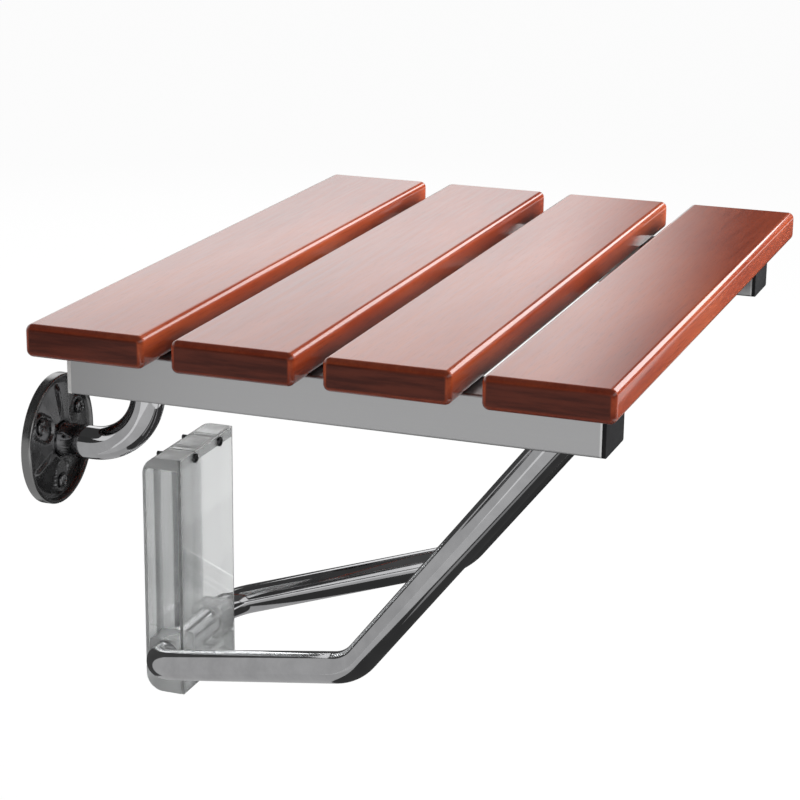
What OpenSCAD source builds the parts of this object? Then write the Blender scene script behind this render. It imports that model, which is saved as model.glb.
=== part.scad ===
// Fold down wall seat: four rounded slats on two box rails. The rails hinge on two bent wall posts.
// A U-shaped support leg hinges in the rails' brackets and slides in a clear guide on the wall.
// X runs along the wall, the wall is the plane y = 0, the seat stands out towards -Y and Z is up.
// The origin lies on the wall, midway between the two flanges and at the height of their axes.

/* [Slats] */
// Length of each slat along the wall
slat_length = 508; // [420:1:620]
// Width of each slat
slat_width = 80; // [70:1:95]
// Thickness of each slat
slat_thick = 21; // [18:1:28]
// Gap between neighbouring slats
slat_gap = 18; // [8:1:24]
// Radius of the slats' rounded edges
slat_round = 3; // [1:0.5:5]
// Distance from the wall to the first slat
wall_gap = 27; // [24:1:30]
// Height of the slats' tops above the flanges' axes
seat_height = 100; // [98:1:110]

/* [Rails] */
// Width of a rail
rail_width = 40; // [34:1:46]
// Height of a rail
rail_height = 30; // [30:1:34]
// Wall thickness of a rail
rail_wall = 2; // [1.5:0.5:2]
// Distance from the slats' ends to the rail's outer face
rail_inset = 30; // [20:1:40]
// Length of slat that stands past the rail, at the wall side and at the front
rail_setback = 13; // [10:1:16]
// Radius of the rail's long edges
rail_round = 1.5; // [1:0.5:2]
// Thickness of an end cap's head
cap_head = 2.5; // [1.5:0.5:4]
// Length of an end cap's plug inside the rail
cap_plug = 5; // [3:0.5:5]

/* [Seat hinge] */
// Distance from the wall to the hinge axis
hinge_out = 70; // [68:1:74]
// Height of the hinge axis above the rails' lower faces
hinge_rise = 9; // [9:0.5:12]
// Radius of the hinge studs
stud_radius = 5; // [4:0.5:5]
// Radius of a stud's flat head inside the rail (it stays clear of the rail's floor)
stud_head_radius = 6.5; // [6:0.5:6.5]
// Thickness of a stud's head
stud_head = 3; // [2:0.5:4]
// Wall thickness of the bushes on the studs and pins
bush_wall = 1.5; // [1:0.5:2]
// Width across the flats of the stud's nut
nut_flats = 13; // [12:1:15]
// Thickness of the stud's nut
nut_thick = 5; // [4:0.5:6]
// Length of stud that stands past its nut
stud_tail = 1; // [0.5:0.5:2]

/* [Wall posts] */
// Outer radius of the posts' and the leg's tube
tube_radius = 11; // [9:0.5:11.5]
// Wall thickness of the tube
tube_wall = 2; // [1.5:0.5:2.5]
// Bend radius of a post, along its middle line
post_bend = 40; // [34:1:42]
// Gap between a post and its rail
post_gap = 1; // [0.5:0.5:2]
// Length of post above the hinge axis
post_top = 10; // [9:0.5:11]
// Thickness of the posts' and the leg's end plugs
plug_head = 1.5; // [1:0.5:2]

/* [Wall flanges] */
// Radius of a flange
flange_radius = 43.5; // [40:0.5:48]
// Thickness of a flange's rim
flange_rim = 7; // [5:0.5:9]
// Width of a flange's rim
flange_rim_width = 3; // [2:0.5:4]
// Thickness of a flange's floor
flange_floor = 3; // [2:0.5:4]
// Outer radius of the hub round the post
hub_radius = 15; // [14:0.5:17]
// Height of the hub above the wall
hub_height = 15; // [12:1:18]
// Width of a ridge on a flange
ridge_width = 7; // [5:0.5:9]
// Height of a ridge at the flange's middle
ridge_high = 12; // [9:0.5:14]
// Height of a ridge at the flange's rim
ridge_low = 5; // [4:0.5:6]
// Radius of the circle through a flange's screws
flange_screw_circle = 29.5; // [26:0.5:31]
// Number of screws in a flange
flange_screw_count = 3; // [3:1:3]
// Radius of a screw boss on a flange
boss_radius = 8; // [6:0.5:9]
// Height of a screw boss above the wall
boss_height = 5; // [4:0.5:6]
// Radius of the flange's screw holes
flange_hole_radius = 2.9; // [2.5:0.1:3.2]

/* [Support leg] */
// Distance from the rails' front ends back to the leg's pins
leg_pin_inset = 32.5; // [25:0.5:45]
// Height of the leg's pins above the rails' lower faces
leg_pin_rise = 3; // [1:0.5:5]
// Radius of the leg's pins
pin_radius = 4; // [3:0.5:4.5]
// Radius of the pins' heads
pin_head_radius = 7; // [6:0.5:8]
// Thickness of the pins' heads
pin_head = 3; // [2:0.5:4]
// Distance from the wall to the leg's elbows
elbow_out = 188; // [175:1:200]
// Height of the leg's elbows (below the flanges' axes)
elbow_up = -158; // [-165:1:-150]
// Distance of the leg's elbows from its middle
elbow_side = 112.5; // [105:0.5:120]
// Distance from the guide's ends to the corners of the leg's crossbar
corner_past = 19; // [18:1:24]
// Bend radius at the corners of the crossbar
corner_bend = 26; // [24:1:26]
// Bend radius at the elbows
elbow_bend = 44; // [36:1:60]
// Thickness of a leg bracket
bracket_thick = 3; // [2:0.5:4]
// Radius of a leg bracket's round end
bracket_radius = 12; // [10:0.5:13]
// Gap between the leg's eye and its bracket
eye_gap = 3; // [2:0.5:4]
// Gap between the leg's eye and its pin's head
pin_head_gap = 1.5; // [1:0.5:2]

/* [Wall guide] */
// Length of the clear guide along the wall
guide_length = 90; // [84:1:94]
// Depth of the guide from the wall to its front
guide_depth = 30; // [29:0.5:34]
// Height of the guide's top (below the flanges' axes)
guide_top = -52; // [-53:0.5:-48]
// Height of the guide's foot (below the flanges' axes)
guide_foot = -232; // [-240:1:-228]
// Thickness of the guide's front cover
cover_thick = 2.4; // [2:0.1:3]
// Radius of the guide's rounded corners at the wall
guide_round = 13; // [8:1:16]
// Height of the crossbar's axis at rest (below the flanges' axes)
crossbar_up = -203; // [-205:1:-202]
// Travel of the crossbar in the guide's slot
crossbar_travel = 130; // [120:1:131]
// Height and depth of the two slide bushes
slide_bush = 24.6; // [24.2:0.1:25]
// Length of a slide bush along the crossbar
slide_bush_length = 20; // [14:1:24]
// Distance from the guide's middle to its screws, along the wall
guide_screw_side = 21; // [18:1:28]
// Distance from the guide's top and foot to its screws
guide_screw_edge = 5; // [4.5:0.5:6]
// Width of a groove in the guide
groove_width = 2; // [1:0.5:3]
// Depth of a groove in the guide
groove_depth = 0.8; // [0.4:0.1:1]

/* [Screws] */
// Radius of the wall screws' shanks
wall_screw_radius = 2.5; // [2:0.1:2.5]
// Radius of the wall screws' heads
wall_screw_head = 4.6; // [4:0.1:5]
// Length of the wall screws' free ends behind the wall's face
wall_screw_length = 5; // [4:1:60]
// Radius of the guide screws' shanks
guide_screw_radius = 1.9; // [1.5:0.1:2]
// Radius of the guide screws' heads
guide_screw_head = 3.7; // [3:0.1:4]
// Radius of the slat screws' shanks
slat_screw_radius = 2; // [1.5:0.1:2.2]
// Radius of the slat screws' heads
slat_screw_head = 4; // [3.5:0.1:4.2]
// Height of the screws' heads
screw_head_height = 2.2; // [1.5:0.1:2.4]
// Depth of the slat screws in a slat
slat_screw_bite = 14; // [10:1:15]
// Radius of the holes that a driver reaches the slat screws through
driver_hole_radius = 4.5; // [4.3:0.1:5]

/* [Hidden] */

// Cuts run this far past the faces that they open
overrun = 1;
// Gap round a piece that is fixed in a hole or a socket
fixed_gap = 0.1;
// Gap round a screw's shank in a plate
screw_gap = 0.3;
// Radial gap of the turning joints
running_gap = 0.05;
// Gap between the slide bushes and the guide's slot, and at the ends of their travel
slide_gap = 0.3;
// Gap between an end plug and the bore that it closes
plug_gap = 0.2;
// Thickness that a bend has less than the straight runs, on each face of the tube's wall
bend_relief = 0.03;
// Angle by which a bend runs on into the straight runs at its ends
bend_lead = 1.5;
// Gap between the slat screws' heads and the end caps' plugs
head_clear = 0.5;
// Length of the end plugs' spigots, as a share of the tube's radius
spigot_share = 0.15;
// Steps in a rounded corner of an outline
corner_steps = 5;
slat_count = 4;
// Direction of a flange's first screw, from the level
flange_screw_start = 30;
cross_arms = 2;
// Slot of a cross recess: width and depth as shares of the head's radius, and length
cross_width_share = 0.22;
cross_depth_share = 0.25;
cross_length_share = 0.7;
// Radius of a wall screw's free end, as a share of its shank's radius
screw_end_share = 0.9;

seat_bottom = seat_height - slat_thick;
rail_bottom = seat_bottom - rail_height;
hinge_up = rail_bottom + hinge_rise;
leg_pin_up = rail_bottom + leg_pin_rise;
slat_pitch = slat_width + slat_gap;
seat_depth = slat_count * slat_width + (slat_count - 1) * slat_gap;
rail_outer = slat_length / 2 - rail_inset;
rail_inner = rail_outer - rail_width;
rail_middle = rail_outer - rail_width / 2;
rail_rear = wall_gap + rail_setback + cap_head;
rail_front = wall_gap + seat_depth - rail_setback - cap_head;
leg_pin_out = rail_front - leg_pin_inset;
slat_screw_edge = rail_setback + cap_head + cap_plug + head_clear + slat_screw_head;
slat_screw_offset = slat_width / 2 - slat_screw_edge;
corner_side = guide_length / 2 + corner_past;
bore_radius = tube_radius - tube_wall;
post_side = rail_inner - post_gap - tube_radius;
bush_length = 2 * tube_radius;
post_bush_radius = stud_radius + running_gap + bush_wall;
leg_bush_radius = pin_radius + running_gap + bush_wall;
stud_hole_radius = stud_radius + fixed_gap;
stud_head_face = -rail_inner - rail_wall;
nut_face = -post_side + tube_radius + post_gap;
bracket_face = rail_inner - bracket_thick;
leg_pin_side = bracket_face - eye_gap - tube_radius;
spigot_length = spigot_share * tube_radius;
crossbar_out = guide_depth / 2;
slot_depth = slide_bush + 2 * slide_gap;
slot_low = crossbar_up - slide_bush / 2 - slide_gap;
slot_high = crossbar_up + crossbar_travel + slide_bush / 2 + slide_gap;
back_wall = (guide_depth - slot_depth) / 2;
groove_spacing = guide_length / 3;
body_front = guide_depth - cover_thick;
flange_screw_step = 360 / flange_screw_count;
flange_screw_angles = [for (i = [0 : flange_screw_count - 1]) flange_screw_start + i * flange_screw_step];
leg_path = [
    [-leg_pin_side, -leg_pin_out, leg_pin_up],
    [-elbow_side, -elbow_out, elbow_up],
    [-corner_side, -crossbar_out, crossbar_up],
    [corner_side, -crossbar_out, crossbar_up],
    [elbow_side, -elbow_out, elbow_up],
    [leg_pin_side, -leg_pin_out, leg_pin_up]
];
leg_bends = [0, elbow_bend, corner_bend, corner_bend, elbow_bend, 0];
eye_direction = unit(leg_path[0] - leg_path[1]);
// The bush lies along X and the tube leans on it, so the bush reaches further along the tube
eye_lean = abs(eye_direction.x);
bush_reach = (leg_bush_radius + eye_lean * bore_radius) / sqrt(1 - eye_lean * eye_lean);
eye_length = bush_reach + plug_gap + spigot_length;
leg_route = [
    leg_path[0] + eye_length * eye_direction,
    leg_path[1], leg_path[2], leg_path[3], leg_path[4],
    mirrored(leg_path[0] + eye_length * eye_direction)
];

function unit(v) = v / norm(v);
function mirrored(p) = [-p.x, p.y, p.z];
function turn_angle(a, b) = acos(max(-1, min(1, unit(a) * unit(b))));
function bend_cut(points, radii, i) =
    (i == 0 || i == len(points) - 1) ? 0
    : radii[i] * tan(turn_angle(points[i] - points[i - 1], points[i + 1] - points[i]) / 2);
function arc_points(centre, radius, start, end, steps) =
    [for (i = [0 : steps]) let (a = start + (end - start) * i / steps) centre + radius * [cos(a), sin(a)]];
function rounded_outline(w, h, r) = concat(
    arc_points([w / 2 - r, h / 2 - r], r, 0, 90, corner_steps),
    arc_points([r - w / 2, h / 2 - r], r, 90, 180, corner_steps),
    arc_points([r - w / 2, r - h / 2], r, 180, 270, corner_steps),
    arc_points([w / 2 - r, r - h / 2], r, 270, 360, corner_steps)
);
function slat_middle(i) = -(wall_gap + slat_width / 2 + i * slat_pitch);
function slat_screw_row(i, row) = slat_middle(i) + row * slat_screw_offset;

// The right side of the seat is the left side's mirror image
module on_side(side) {
    if (side < 0) children();
    else mirror([1, 0, 0]) children();
}

module ring(outer, inner) {
    difference() {
        circle(r = outer, $fn = 40);
        circle(r = inner, $fn = 40);
    }
}

// Places its children at a point, with their Z along one direction and their X turned towards another
module aim(point, direction, towards) {
    d = unit(direction);
    polar = acos(d.z);
    around = (d.x == 0 && d.y == 0) ? 0 : atan2(d.y, d.x);
    local_x = [cos(polar) * cos(around), cos(polar) * sin(around), -sin(polar)];
    local_y = [-sin(around), cos(around), 0];
    translate(point)
        rotate([0, polar, around])
            rotate([0, 0, atan2(towards * local_y, towards * local_x)])
                children();
}

// A bend is a hair thinner than the runs and a little longer than its angle, so its ends stand in their walls
module tube_bend(radius, angle) {
    translate([radius, 0, 0])
        rotate([90, bend_lead, 180])
            rotate_extrude(angle = angle + 2 * bend_lead, $fn = 48)
                translate([radius, 0])
                    ring(tube_radius - bend_relief, bore_radius + bend_relief);
}

// A tube along straight runs with a round bend at each inner point
module bent_tube(points, radii) {
    for (i = [0 : len(points) - 2]) {
        run = points[i + 1] - points[i];
        before = bend_cut(points, radii, i);
        after = bend_cut(points, radii, i + 1);
        aim(points[i] + unit(run) * before, run, [1, 0, 0])
            linear_extrude(norm(run) - before - after)
                ring(tube_radius, bore_radius);
    }
    for (i = [1 : len(points) - 2]) {
        into = unit(points[i] - points[i - 1]);
        out = unit(points[i + 1] - points[i]);
        aim(points[i] - into * bend_cut(points, radii, i), into, out)
            tube_bend(radii[i], turn_angle(into, out));
    }
}

// A cylinder along X, from one x to another, at a place on the seat's side view
module cross_cylinder(radius, from_x, to_x, out, up) {
    translate([from_x, -out, up])
        rotate([0, 90, 0])
            cylinder(r = radius, h = to_x - from_x, $fn = 48);
}

// A cross-recessed pan head: its seat is at z = 0 and the shank runs down from there
module pan_screw(head_radius, shank_radius, shank_length) {
    recess_depth = cross_depth_share * head_radius;
    difference() {
        cylinder(r = head_radius, h = screw_head_height, $fn = 32);
        for (i = [0 : cross_arms - 1])
            rotate([0, 0, i * 90])
                translate([
                    -cross_length_share * head_radius,
                    -cross_width_share * head_radius / 2,
                    screw_head_height - recess_depth
                ])
                    cube([
                        2 * cross_length_share * head_radius,
                        cross_width_share * head_radius,
                        recess_depth + overrun
                    ]);
    }
    translate([0, 0, -shank_length])
        cylinder(r = shank_radius, h = shank_length, $fn = 32);
}

// A pan screw through a part on the wall, with a thinner free end behind the wall's face
module wall_screw(head_radius, shank_radius, depth) {
    pan_screw(head_radius, shank_radius, depth);
    translate([0, 0, -depth - wall_screw_length])
        cylinder(r = screw_end_share * shank_radius, h = wall_screw_length, $fn = 32);
}

// Turns a piece that is drawn upwards so that it stands out from the wall
module out_from_wall(x, up) {
    translate([x, 0, up])
        rotate([90, 0, 0])
            children();
}

module slat(i) {
    color("sienna")
        difference() {
            translate([0, slat_middle(i), seat_height - slat_thick / 2])
                intersection() {
                    translate([0, 0, -slat_thick / 2])
                        linear_extrude(slat_thick)
                            polygon(rounded_outline(slat_length, slat_width, slat_round));
                    rotate([90, 0, 90])
                        translate([0, 0, -slat_length / 2])
                            linear_extrude(slat_length)
                                polygon(rounded_outline(slat_width, slat_thick, slat_round));
                    rotate([90, 0, 0])
                        translate([0, 0, -slat_width / 2])
                            linear_extrude(slat_width)
                                polygon(rounded_outline(slat_length, slat_thick, slat_round));
                }
            for (side = [-1, 1], row = [-1, 1])
                translate([side * rail_middle, slat_screw_row(i, row), seat_bottom - overrun])
                    cylinder(
                        r = slat_screw_radius + running_gap,
                        h = slat_screw_bite + 2 * overrun,
                        $fn = 24
                    );
        }
}

module rail(side) {
    length = rail_front - rail_rear;
    inside = [rail_width - 2 * rail_wall, rail_height - 2 * rail_wall];
    face = [-rail_inner - rail_wall - overrun, -rail_inner + overrun];
    hole_length = rail_wall + 2 * overrun;
    color("silver")
        on_side(side)
            difference() {
                translate([-rail_middle, -rail_rear, seat_bottom - rail_height / 2])
                    rotate([90, 0, 0])
                        linear_extrude(length)
                            difference() {
                                polygon(rounded_outline(rail_width, rail_height, rail_round));
                                square(inside, center = true);
                            }
                for (i = [0 : slat_count - 1], row = [-1, 1])
                    translate([-rail_middle, slat_screw_row(i, row), rail_bottom]) {
                        translate([0, 0, -overrun])
                            cylinder(r = driver_hole_radius, h = hole_length, $fn = 32);
                        translate([0, 0, rail_height - rail_wall - overrun])
                            cylinder(r = slat_screw_radius + screw_gap, h = hole_length, $fn = 24);
                    }
                cross_cylinder(stud_hole_radius, face[0], face[1], hinge_out, hinge_up);
                cross_cylinder(pin_radius + screw_gap, face[0], face[1], leg_pin_out, leg_pin_up);
            }
}

// An end cap: a head over the rail's end and a plug inside it, drawn along +Z from the rail's end
module rail_cap() {
    plug_width = rail_width - 2 * rail_wall - 2 * plug_gap;
    plug_height = rail_height - 2 * rail_wall - 2 * plug_gap;
    linear_extrude(cap_head)
        polygon(rounded_outline(rail_width, rail_height, rail_round));
    translate([-plug_width / 2, -plug_height / 2, -cap_plug])
        cube([plug_width, plug_height, cap_plug]);
}

module front_cap(side) {
    color("black")
        on_side(side)
            translate([-rail_middle, -rail_front, seat_bottom - rail_height / 2])
                rotate([90, 0, 0])
                    rail_cap();
}

module rear_cap(side) {
    color("gray")
        on_side(side)
            translate([-rail_middle, -rail_rear, seat_bottom - rail_height / 2])
                rotate([-90, 0, 0])
                    rail_cap();
}

module slat_screws(side) {
    color("dimgray")
        on_side(side)
            for (i = [0 : slat_count - 1], row = [-1, 1])
                translate([-rail_middle, slat_screw_row(i, row), seat_bottom - rail_wall])
                    rotate([180, 0, 0])
                        pan_screw(slat_screw_head, slat_screw_radius, rail_wall + slat_screw_bite);
}

module pivot_stud(side) {
    stud_end = nut_face + nut_thick + stud_tail;
    color("gray")
        on_side(side) {
            cross_cylinder(stud_radius, stud_head_face, stud_end, hinge_out, hinge_up);
            cross_cylinder(stud_head_radius, stud_head_face - stud_head, stud_head_face, hinge_out, hinge_up);
        }
}

module pivot_nut(side) {
    hole = [nut_face - overrun, nut_face + nut_thick + overrun];
    color("silver")
        on_side(side)
            difference() {
                translate([nut_face, -hinge_out, hinge_up])
                    rotate([0, 90, 0])
                        cylinder(d = nut_flats / cos(30), h = nut_thick, $fn = 6);
                cross_cylinder(stud_radius + fixed_gap, hole[0], hole[1], hinge_out, hinge_up);
            }
}

module flange(side) {
    ridge_end = flange_radius - flange_rim_width / 2;
    ridge = [[0, 0], [ridge_end, 0], [ridge_end, ridge_low], [0, ridge_high]];
    color("dimgray")
        on_side(side)
            out_from_wall(-post_side, 0)
                difference() {
                    union() {
                        cylinder(r = flange_radius, h = flange_floor, $fn = 96);
                        difference() {
                            cylinder(r = flange_radius, h = flange_rim, $fn = 96);
                            translate([0, 0, flange_floor])
                                cylinder(r = flange_radius - flange_rim_width, h = flange_rim, $fn = 96);
                        }
                        cylinder(r = hub_radius, h = hub_height, $fn = 64);
                        for (a = flange_screw_angles) {
                            rotate([0, 0, a])
                                translate([flange_screw_circle, 0, 0])
                                    cylinder(r = boss_radius, h = boss_height, $fn = 48);
                            rotate([0, 0, a + flange_screw_step / 2])
                                translate([0, ridge_width / 2, 0])
                                    rotate([90, 0, 0])
                                        linear_extrude(ridge_width)
                                            polygon(ridge);
                        }
                    }
                    translate([0, 0, flange_floor])
                        cylinder(r = tube_radius + fixed_gap, h = hub_height, $fn = 64);
                    for (a = flange_screw_angles)
                        rotate([0, 0, a])
                            translate([flange_screw_circle, 0, -overrun])
                                cylinder(r = flange_hole_radius, h = boss_height + 2 * overrun, $fn = 48);
                }
}

module flange_screws(side) {
    color("darkgray")
        on_side(side)
            out_from_wall(-post_side, 0)
                for (a = flange_screw_angles)
                    rotate([0, 0, a])
                        translate([flange_screw_circle, 0, boss_height])
                            wall_screw(wall_screw_head, wall_screw_radius, boss_height);
}

module post(side) {
    color("silver")
        on_side(side)
            difference() {
                bent_tube(
                    [
                        [-post_side, -flange_floor, 0],
                        [-post_side, -hinge_out, 0],
                        [-post_side, -hinge_out, hinge_up + post_top]
                    ],
                    [0, post_bend, 0]
                );
                cross_cylinder(
                    post_bush_radius, -post_side - tube_radius - overrun, -post_side + tube_radius + overrun,
                    hinge_out, hinge_up
                );
            }
}

// An end plug for the tube: a disc on the end and a spigot in the bore, drawn along +Z from the tube's end
module tube_plug() {
    cylinder(r = tube_radius, h = plug_head, $fn = 64);
    translate([0, 0, -spigot_length])
        cylinder(r = bore_radius - plug_gap, h = spigot_length, $fn = 64);
}

module post_plug(side) {
    color("gray")
        on_side(side)
            translate([-post_side, -hinge_out, hinge_up + post_top])
                tube_plug();
}

// A bush round an axis that crosses a tube: its outer radius, the pin in it and the tube's place
module bush(outer, inner, side_x, out, up) {
    difference() {
        cross_cylinder(outer - running_gap, side_x - tube_radius, side_x + tube_radius, out, up);
        cross_cylinder(inner + running_gap, side_x - bush_length, side_x + bush_length, out, up);
    }
}

module post_bush(side) {
    color("dimgray")
        on_side(side)
            bush(post_bush_radius, stud_radius, -post_side, hinge_out, hinge_up);
}

module support_leg() {
    color("silver")
        difference() {
            bent_tube(leg_route, leg_bends);
            for (side = [-1, 1])
                cross_cylinder(
                    leg_bush_radius, side * leg_pin_side - bush_length, side * leg_pin_side + bush_length,
                    leg_pin_out, leg_pin_up
                );
        }
}

module leg_plug(side) {
    color("gray")
        on_side(side)
            aim(leg_route[0], eye_direction, [1, 0, 0])
                tube_plug();
}

module leg_bush(side) {
    color("dimgray")
        on_side(side)
            bush(leg_bush_radius, pin_radius, -leg_pin_side, leg_pin_out, leg_pin_up);
}

// The pin's end stops short of the bracket, because this pivot is left open
module leg_pin(side) {
    head_x = -leg_pin_side + tube_radius + pin_head_gap;
    color("gray")
        on_side(side) {
            cross_cylinder(pin_radius, -bracket_face + slide_gap, head_x, leg_pin_out, leg_pin_up);
            cross_cylinder(pin_head_radius, head_x, head_x + pin_head, leg_pin_out, leg_pin_up);
        }
}

// A plate on the rail's inner face, with a round lower end about the leg's pin
module leg_bracket(side) {
    plate_top = seat_bottom - rail_wall - leg_pin_up;
    hole = [-rail_inner - overrun, -bracket_face + overrun];
    color("silver")
        on_side(side)
            difference() {
                translate([-rail_inner, -leg_pin_out, leg_pin_up])
                    rotate([90, 0, 90])
                        linear_extrude(bracket_thick)
                            polygon(concat(
                                arc_points([0, 0], bracket_radius, 180, 360, 4 * corner_steps),
                                [[bracket_radius, plate_top], [-bracket_radius, plate_top]]
                            ));
                cross_cylinder(pin_radius + screw_gap, hole[0], hole[1], leg_pin_out, leg_pin_up);
            }
}

function screw_rows() = [guide_top - guide_screw_edge, guide_foot + guide_screw_edge];

module guide_screw_holes() {
    for (x = [-guide_screw_side, guide_screw_side], up = screw_rows())
        out_from_wall(x, up)
            translate([0, 0, -overrun])
                cylinder(r = guide_screw_radius + screw_gap, h = guide_depth + 2 * overrun, $fn = 32);
}

// Side view of the clear body: round corners at the wall, and a slot that the front cover closes
module guide_profile() {
    height = guide_top - guide_foot;
    translate([0, guide_foot])
        polygon(concat(
            arc_points([guide_round, guide_round], guide_round, 180, 270, 2 * corner_steps),
            [
                [body_front, 0],
                [body_front, slot_low - guide_foot],
                [back_wall, slot_low - guide_foot],
                [back_wall, slot_high - guide_foot],
                [body_front, slot_high - guide_foot],
                [body_front, height]
            ],
            arc_points([guide_round, height - guide_round], guide_round, 90, 180, 2 * corner_steps)
        ));
}

module guide_body() {
    color("gainsboro", 0.4)
        difference() {
            translate([guide_length / 2, 0, 0])
                rotate([90, 0, -90])
                    linear_extrude(guide_length)
                        guide_profile();
            guide_screw_holes();
            for (x = [-guide_screw_side, guide_screw_side])
                translate([x - groove_width / 2, -guide_depth - overrun, guide_top - groove_depth])
                    cube([groove_width, guide_depth + 2 * overrun, groove_depth + overrun]);
            for (x = [-groove_spacing, 0, groove_spacing])
                translate([x - groove_width / 2, -groove_depth, slot_low])
                    cube([groove_width, groove_depth + overrun, slot_high - slot_low]);
        }
}

module guide_cover() {
    color("gainsboro", 0.4)
        difference() {
            translate([-guide_length / 2, -guide_depth, guide_foot])
                cube([guide_length, cover_thick, guide_top - guide_foot]);
            guide_screw_holes();
            for (x = [-guide_screw_side, guide_screw_side])
                translate([x - groove_width / 2, -guide_depth - overrun, guide_top - groove_depth])
                    cube([groove_width, guide_depth + 2 * overrun, groove_depth + overrun]);
        }
}

module guide_screws() {
    color("dimgray")
        for (x = [-guide_screw_side, guide_screw_side], up = screw_rows())
            out_from_wall(x, up)
                translate([0, 0, guide_depth])
                    wall_screw(guide_screw_head, guide_screw_radius, guide_depth);
}

module slide_bush(side) {
    color("lightgray", 0.7)
        on_side(side)
            difference() {
                translate([-guide_length / 2 + slide_gap, -crossbar_out, crossbar_up])
                    rotate([90, 0, 90])
                        linear_extrude(slide_bush_length)
                            polygon(rounded_outline(slide_bush, slide_bush, slat_round));
                cross_cylinder(
                    tube_radius + running_gap, -guide_length, 0, crossbar_out, crossbar_up
                );
            }
}

flange(-1);  // left_flange
flange(1);  // right_flange
flange_screws(-1);  // left_flange_screws
flange_screws(1);  // right_flange_screws
post(-1);  // left_post
post(1);  // right_post
post_plug(-1);  // left_post_plug
post_plug(1);  // right_post_plug
post_bush(-1);  // left_post_bush
post_bush(1);  // right_post_bush
guide_body();
guide_cover();
guide_screws();
slide_bush(-1);  // left_slide_bush
slide_bush(1);  // right_slide_bush
support_leg();
leg_plug(-1);  // left_leg_plug
leg_plug(1);  // right_leg_plug
leg_bush(-1);  // left_leg_bush
leg_bush(1);  // right_leg_bush
leg_pin(-1);  // left_leg_pin
leg_pin(1);  // right_leg_pin
leg_bracket(-1);  // left_leg_bracket
leg_bracket(1);  // right_leg_bracket
slat(0);  // slat_1
slat(1);  // slat_2
slat(2);  // slat_3
slat(3);  // slat_4
rail(-1);  // left_rail
rail(1);  // right_rail
front_cap(-1);  // left_front_cap
front_cap(1);  // right_front_cap
rear_cap(-1);  // left_rear_cap
rear_cap(1);  // right_rear_cap
slat_screws(-1);  // left_slat_screws
slat_screws(1);  // right_slat_screws
pivot_stud(-1);  // left_pivot_stud
pivot_stud(1);  // right_pivot_stud
pivot_nut(-1);  // left_pivot_nut
pivot_nut(1);  // right_pivot_nut
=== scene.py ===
# %% [markdown]
# # A fold down wall seat, dressed in Blender
#
# The seat has four lacquered slats on two box rails, two bent wall posts, a U-shaped support leg and a
# clear guide on the wall. Its measured solids come from the imported model, which is the frame of this
# lesson. Each step below names one piece or finish of the real seat, says how it could be made, and why
# this way was chosen. The first step loads the frame and gives a way to read a part's box. The dressed
# seat must not outgrow it.

# %% Load the measured frame
import math

import bmesh
import bpy
import numpy as np
from mathutils import Matrix, Vector


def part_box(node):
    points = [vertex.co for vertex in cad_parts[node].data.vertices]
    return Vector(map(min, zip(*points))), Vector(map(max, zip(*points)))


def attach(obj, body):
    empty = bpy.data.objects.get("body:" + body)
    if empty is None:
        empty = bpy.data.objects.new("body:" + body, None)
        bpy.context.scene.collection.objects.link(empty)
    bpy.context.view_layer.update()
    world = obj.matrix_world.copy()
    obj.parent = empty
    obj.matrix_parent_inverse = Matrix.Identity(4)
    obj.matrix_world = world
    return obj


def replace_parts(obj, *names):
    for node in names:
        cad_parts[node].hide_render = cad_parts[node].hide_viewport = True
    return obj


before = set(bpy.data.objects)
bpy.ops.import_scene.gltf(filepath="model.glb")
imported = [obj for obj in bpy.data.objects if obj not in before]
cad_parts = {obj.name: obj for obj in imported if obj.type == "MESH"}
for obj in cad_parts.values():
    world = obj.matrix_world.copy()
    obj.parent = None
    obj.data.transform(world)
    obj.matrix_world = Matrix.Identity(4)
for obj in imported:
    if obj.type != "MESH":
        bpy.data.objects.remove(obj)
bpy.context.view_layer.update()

MM = 0.001
print("nodes in the frame:", len(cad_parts))

# %% [markdown]
# ## One way to write nodes
#
# Materials and Geometry Nodes are both graphs of nodes. Adding each node and link by hand is slow to
# read, so one small class wraps an output and lets it take part in a formula: `1 - mask` adds the Math
# node that works it out. Every other node comes from one method, which sets the node's own settings
# first, because they decide which sockets it has.

# %% A socket that can be used in formulas
class Wire:
    """An output of a node. Arithmetic on it adds Math nodes to the same graph."""

    def __init__(self, graph, socket):
        self.graph, self.socket = graph, socket

    def of(self, name):
        return Wire(self.graph, pick(self.socket.node.outputs, name))

    def maths(self, operation, *values):
        return self.graph.add("ShaderNodeMath", {"operation": operation}, dict(enumerate(values)))

    def __add__(self, other): return self.maths("ADD", self, other)
    def __radd__(self, other): return self.maths("ADD", other, self)
    def __sub__(self, other): return self.maths("SUBTRACT", self, other)
    def __rsub__(self, other): return self.maths("SUBTRACT", other, self)
    def __mul__(self, other): return self.maths("MULTIPLY", self, other)
    def __truediv__(self, other): return self.maths("DIVIDE", self, other)
    def __abs__(self): return self.maths("ABSOLUTE", self)
    def __pow__(self, other): return self.maths("POWER", self, other)

    def wave(self): return self.maths("SINE", self)
    def floor(self): return self.maths("FLOOR", self)
    def sign(self): return self.maths("SIGN", self)
    def most(self, other): return self.maths("MAXIMUM", self, other)

    def ramp(self, low, high, start=0.0, end=1.0):
        """Start at low or less, end at high or more, and a soft step between them."""
        return self.graph.add(
            "ShaderNodeMapRange",
            {"interpolation_type": "SMOOTHSTEP"},
            {"Value": self, "From Min": low, "From Max": high, "To Min": start, "To Max": end},
        )


def pick(sockets, name):
    """The socket in use that has this name, or that is at this place."""
    if isinstance(name, int):
        return sockets[name]
    return next(s for s in sockets if s.name == name and s.enabled and not s.is_unavailable)


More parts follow.
